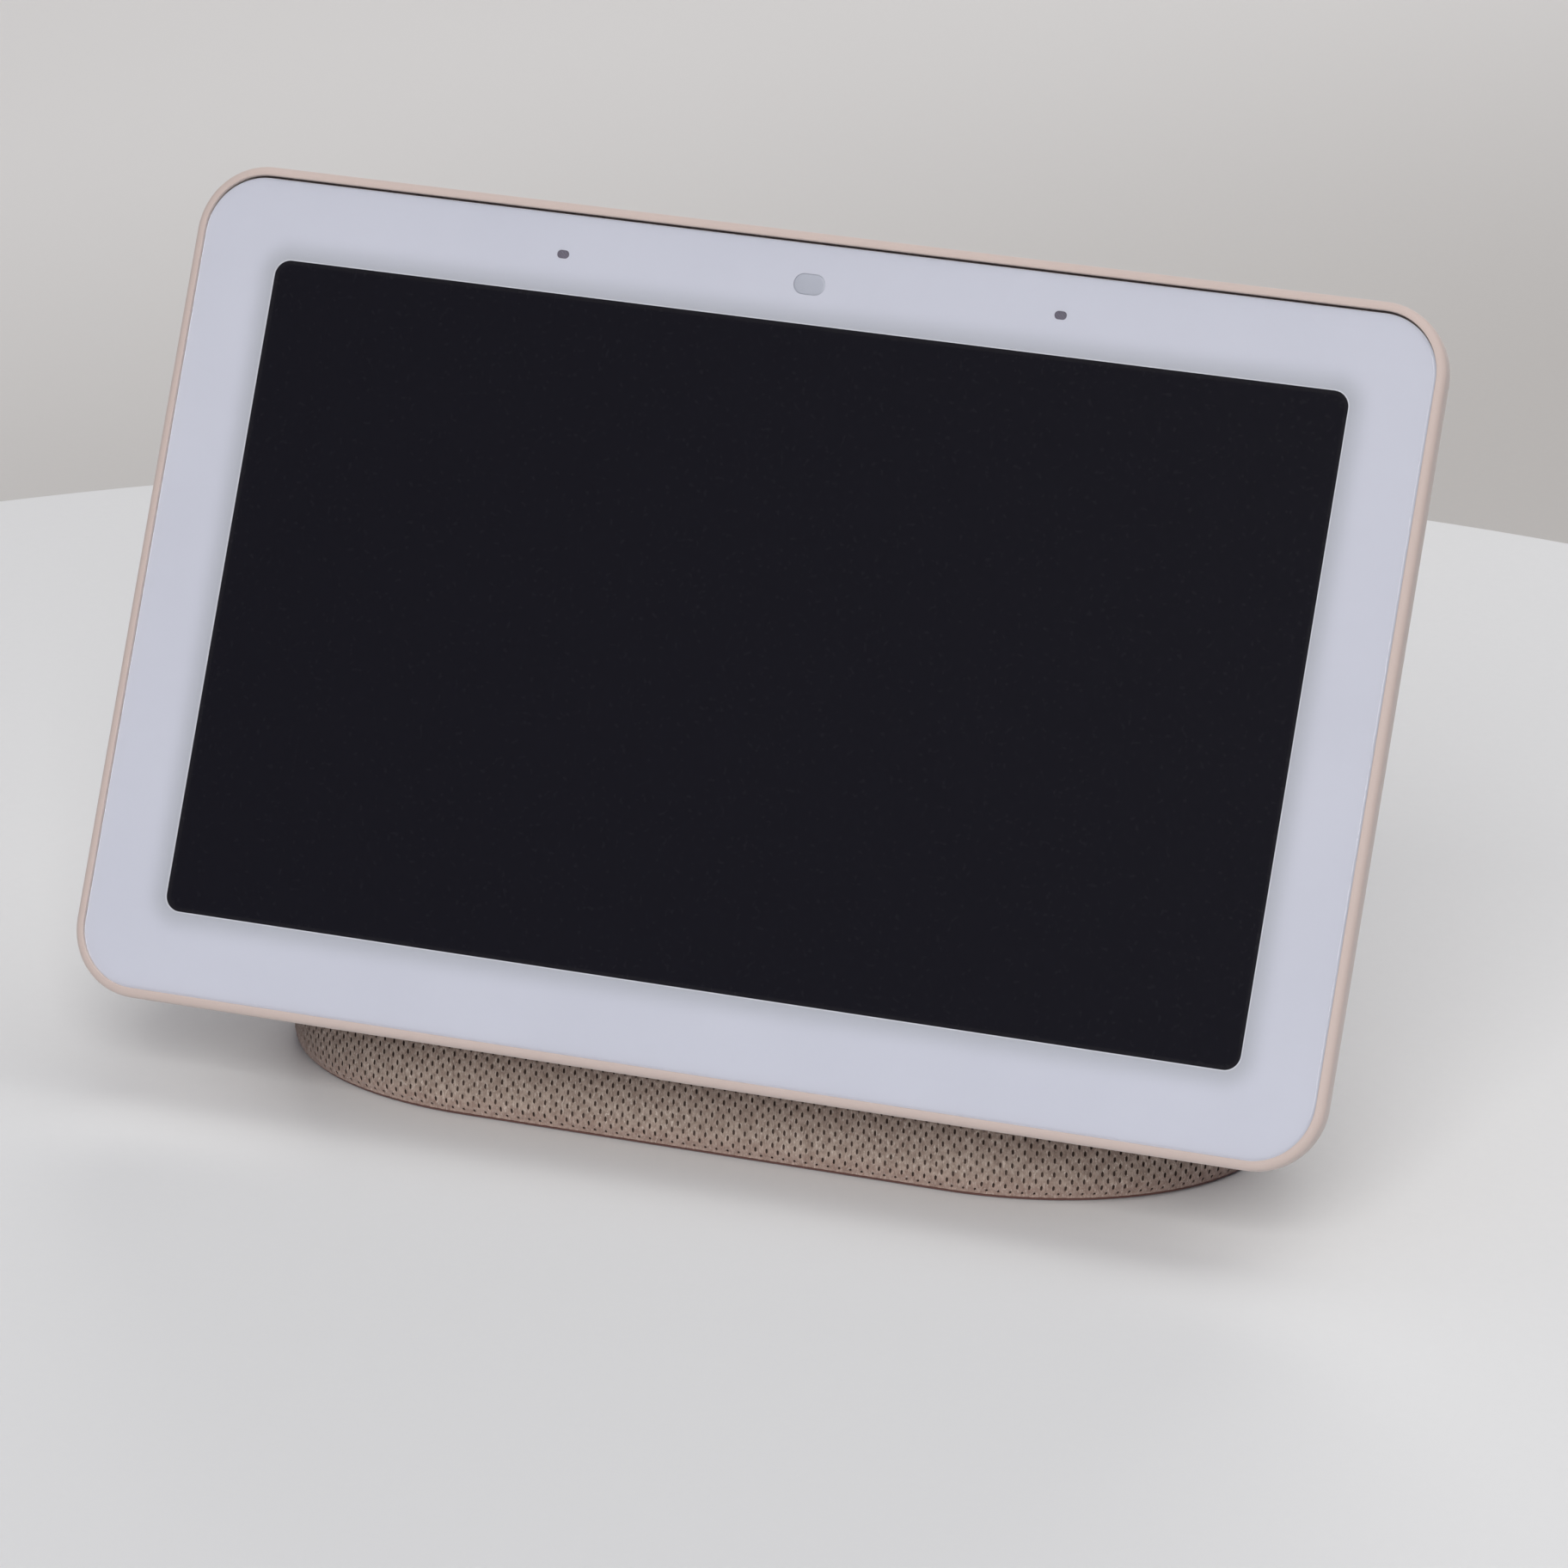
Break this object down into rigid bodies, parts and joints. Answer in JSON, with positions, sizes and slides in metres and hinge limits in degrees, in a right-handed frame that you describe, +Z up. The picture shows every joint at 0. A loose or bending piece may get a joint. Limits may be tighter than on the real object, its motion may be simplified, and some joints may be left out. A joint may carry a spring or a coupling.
{
  "type": "smart display",
  "caption": "Tabletop smart display: a tilted glass fronted screen slab on a fabric covered speaker base, with a volume rocker, mute slider and power inlet behind.",
  "frame": {"origin": "centre of the object's footprint box on the surface it rests on", "axes": "+Z up, the screen faces -Y, +X to the right of somebody facing the screen"},
  "size_m": [0.1784, 0.0672, 0.118],
  "materials": {
    "cover_glass": "clear, polished",
    "bezel_ink": "white printed film behind the glass",
    "sensor_ink": "grey translucent print",
    "lcd": "black, switched off",
    "steel": "zinc plated sheet",
    "foam_tape": "black adhesive foam",
    "mid_frame": "cast, satin",
    "soft_touch_housing": "sand pink soft touch",
    "soft_touch_control": "sand pink satin",
    "orange_film": "orange marker film",
    "mesh_fabric": "taupe knitted mesh",
    "grey_plastic": "moulded",
    "black_plastic": "moulded",
    "silicone": "terracotta silicone",
    "flex_film": "amber flexible film",
    "nickel": "nickel plated",
    "paper_cone": "treated paper",
    "surround_rubber": "black",
    "ferrite": "grey ferrite and steel",
    "copper": "copper",
    "aluminium": "rolled sheet",
    "tinned_steel": "tinned",
    "white_plastic": "moulded",
    "circuit_board": "green solder mask",
    "screw_steel": "blackened",
    "light_guide": "clear acrylic"
  },
  "bodies": {
    "display_and_base": {"backlight_unit": "steel", "ballast_plate": "steel", "base_flex_cable": "flex_film", "base_screw_1": "screw_steel", "base_screw_2": "screw_steel", "base_screw_3": "screw_steel", "base_screw_4": "screw_steel", "base_shell": "grey_plastic", "bezel_mask": "bezel_ink", "bottom_plate": "grey_plastic", "bracket_screw_1": "screw_steel", "bracket_screw_2": "screw_steel", "bracket_screw_3": "screw_steel", "bracket_screw_4": "screw_steel", "cover_glass": "cover_glass", "dc_jack_body": "black_plastic", "dc_jack_pin": "nickel", "display_adhesive": "foam_tape", "display_flex": "flex_film", "fabric_sleeve": "mesh_fabric", "foot_pad": "silicone", "heat_spreader": "aluminium", "housing_screw_1": "screw_steel", "housing_screw_2": "screw_steel", "housing_screw_3": "screw_steel", "housing_screw_4": "screw_steel", "jack_bezel": "grey_plastic", "jack_board": "circuit_board", "key_board": "circuit_board", "key_switch_down": "tinned_steel", "key_switch_up": "tinned_steel", "lcd_panel": "lcd", "light_sensor_board": "circuit_board", "main_board": "circuit_board", "mic_board_left": "circuit_board", "mic_board_right": "circuit_board", "mid_frame": "mid_frame", "mute_switch_body": "tinned_steel", "neck_bracket": "steel", "processor_shield": "tinned_steel", "rear_housing": "soft_touch_housing", "sensor_light_guide": "light_guide", "sensor_window": "sensor_ink", "speaker_basket": "grey_plastic", "speaker_box": "black_plastic", "speaker_magnet": "ferrite", "speaker_screw_1": "screw_steel", "speaker_screw_2": "screw_steel", "speaker_surround": "surround_rubber", "wifi_antenna_left": "copper", "wifi_antenna_right": "copper"},
    "volume_rocker": {"volume_rocker": "soft_touch_control"},
    "mute_slider": {"mute_slider": "soft_touch_control", "mute_flag": "orange_film"},
    "key_plunger_up": {"key_plunger_up": "white_plastic"},
    "key_plunger_down": {"key_plunger_down": "white_plastic"},
    "speaker_cone": {"speaker_cone": "paper_cone", "voice_coil": "copper"}
  },
  "joints": [
    {"name": "volume_rocker_tilt", "type": "hinge", "parent": "display_and_base", "child": "volume_rocker", "pos_m": [0.076, 0.00827, 0.08538], "axis": [1, 0, 0], "range_deg": [-1.6, 1.6], "stiffness_Nm_per_rad": 0.6},
    {"name": "key_plunger_up_travel", "type": "slide", "parent": "display_and_base", "child": "key_plunger_up", "axis": [0, -0.9063, 0.4226], "range_m": [-0.00026, 0.00026]},
    {"name": "key_plunger_down_travel", "type": "slide", "parent": "display_and_base", "child": "key_plunger_down", "axis": [0, -0.9063, 0.4226], "range_m": [-0.00026, 0.00026]},
    {"name": "mute_slider_travel", "type": "slide", "parent": "display_and_base", "child": "mute_slider", "axis": [1, 0, 0], "range_m": [0, 0.0025]},
    {"name": "speaker_cone_travel", "type": "slide", "parent": "display_and_base", "child": "speaker_cone", "axis": [0, 1, 0], "range_m": [-0.001, 0.001], "stiffness_N_per_m": 900}
  ],
  "couplings": [
    {"joint": "key_plunger_up_travel", "follows": "volume_rocker_tilt", "m_per_rad": 0.009},
    {"joint": "key_plunger_down_travel", "follows": "volume_rocker_tilt", "m_per_rad": -0.009}
  ]
}
